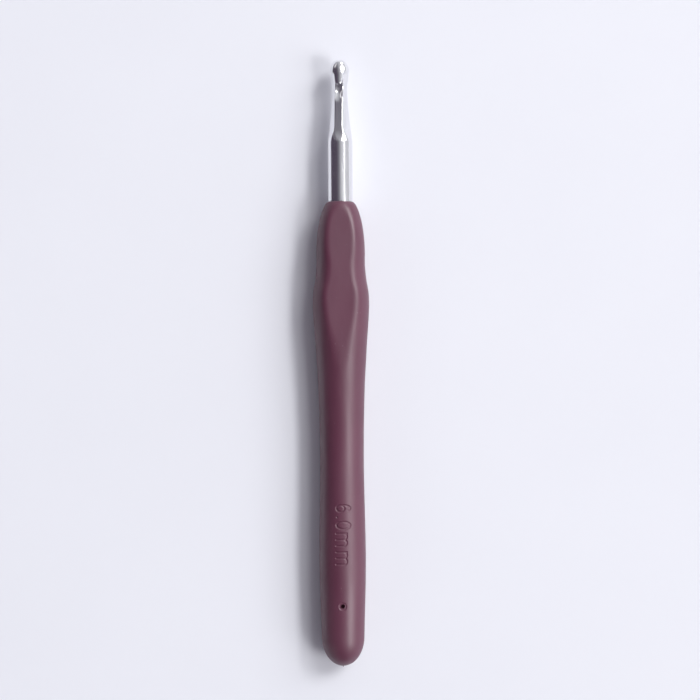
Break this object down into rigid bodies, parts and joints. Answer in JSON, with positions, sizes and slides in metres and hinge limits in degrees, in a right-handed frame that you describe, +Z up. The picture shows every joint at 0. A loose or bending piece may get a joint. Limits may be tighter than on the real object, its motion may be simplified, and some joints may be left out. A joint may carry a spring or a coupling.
{
  "type": "crochet hook",
  "caption": "Cushion-grip crochet hook: a polished metal shaft with a flat-faced neck and an in-line hooked head, held in a contoured soft handle with a thumb flat.",
  "frame": {"origin": "middle of the length, on the surface that the hook lies on, under its axis", "axes": "+X along the hook from the handle's end to the tip, +Z up through the thumb flat, +Y to the left when looking towards the tip"},
  "size_m": [0.1456, 0.0136, 0.0115],
  "materials": {
    "polished_aluminium": "polished",
    "core_plastic": "satin",
    "grip_rubber": "satin"
  },
  "bodies": {
    "root": {"hook": "polished_aluminium", "handle_core": "core_plastic", "soft_grip": "grip_rubber"}
  },
  "joints": []
}
